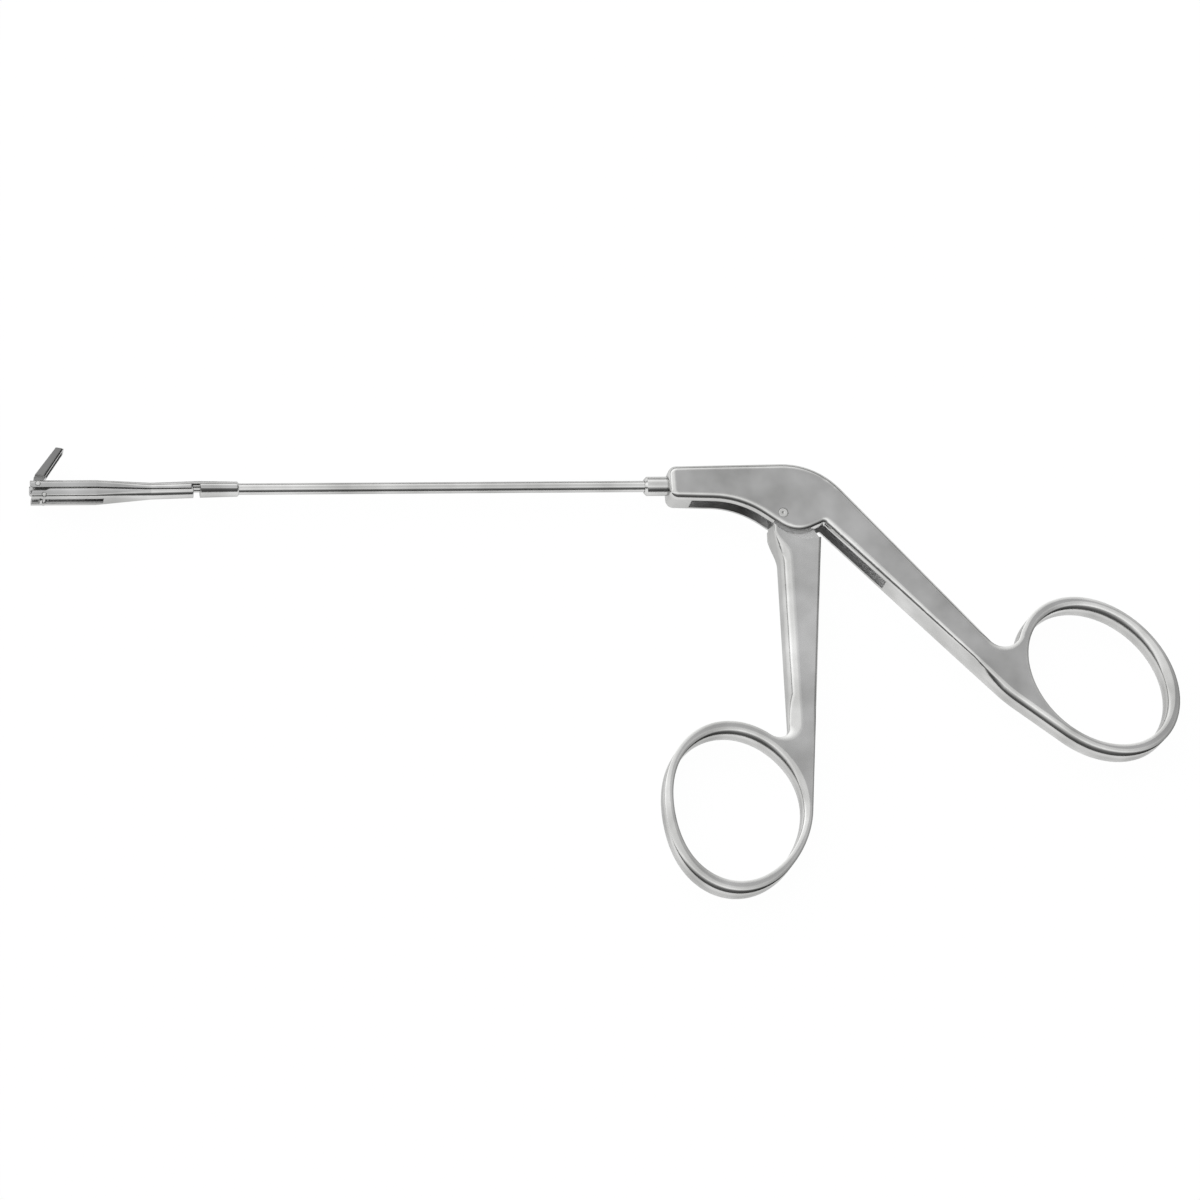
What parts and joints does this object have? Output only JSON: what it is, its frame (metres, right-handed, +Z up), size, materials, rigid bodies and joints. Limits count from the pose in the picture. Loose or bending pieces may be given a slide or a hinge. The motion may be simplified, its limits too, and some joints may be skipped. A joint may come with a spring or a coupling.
{
  "type": "antrum punch",
  "caption": "Ring-handled surgical punch with a long thin shaft and a backward-biting jaw that closes into a window when the finger rings are squeezed.",
  "frame": {"origin": "the side face that the punch lies on, at the main pivot along the shaft and on the shaft's centreline across it", "axes": "+X along the shaft towards the handles, +Y across the shaft away from the finger rings, +Z up, out of the side face on top"},
  "size_m": [0.1916, 0.0788, 0.006],
  "materials": {
    "satin_handle": "bead-blasted satin stainless steel, edges polished",
    "polished_shaft": "polished stainless steel",
    "satin_tip": "fine-ground stainless steel",
    "hard_pin": "ground stainless steel pin"
  },
  "bodies": {
    "frame": {"rear_handle": "satin_handle", "pivot_pin": "hard_pin", "rear_ferrule": "polished_shaft", "shaft_tube": "polished_shaft", "tip_carrier": "satin_tip", "jaw_pivot_pin": "hard_pin"},
    "lever": {"front_handle": "satin_handle"},
    "drive": {"push_rod": "polished_shaft", "rod_ball": "polished_shaft", "rod_link_pin": "hard_pin", "tip_slider": "satin_tip", "drive_pin": "hard_pin"},
    "bite": {"jaw": "satin_tip"}
  },
  "joints": [
    {"name": "squeeze", "type": "hinge", "parent": "frame", "child": "lever", "pos_m": [0, -0.00606, 0.003], "axis": [0, 0, 1], "range_deg": [0, 18.2]},
    {"name": "rod_slide", "type": "slide", "parent": "frame", "child": "drive", "axis": [-1, 0, 0], "range_m": [0, 0.00194]},
    {"name": "jaw_turn", "type": "hinge", "parent": "frame", "child": "bite", "pos_m": [-0.1245, 0.00039, 0.003], "axis": [0, 0, -1], "range_deg": [0, 54]}
  ],
  "couplings": [
    {"joint": "rod_slide", "follows": "squeeze", "m_per_rad": 0.0061},
    {"joint": "jaw_turn", "follows": "squeeze", "ratio": 2.967}
  ]
}
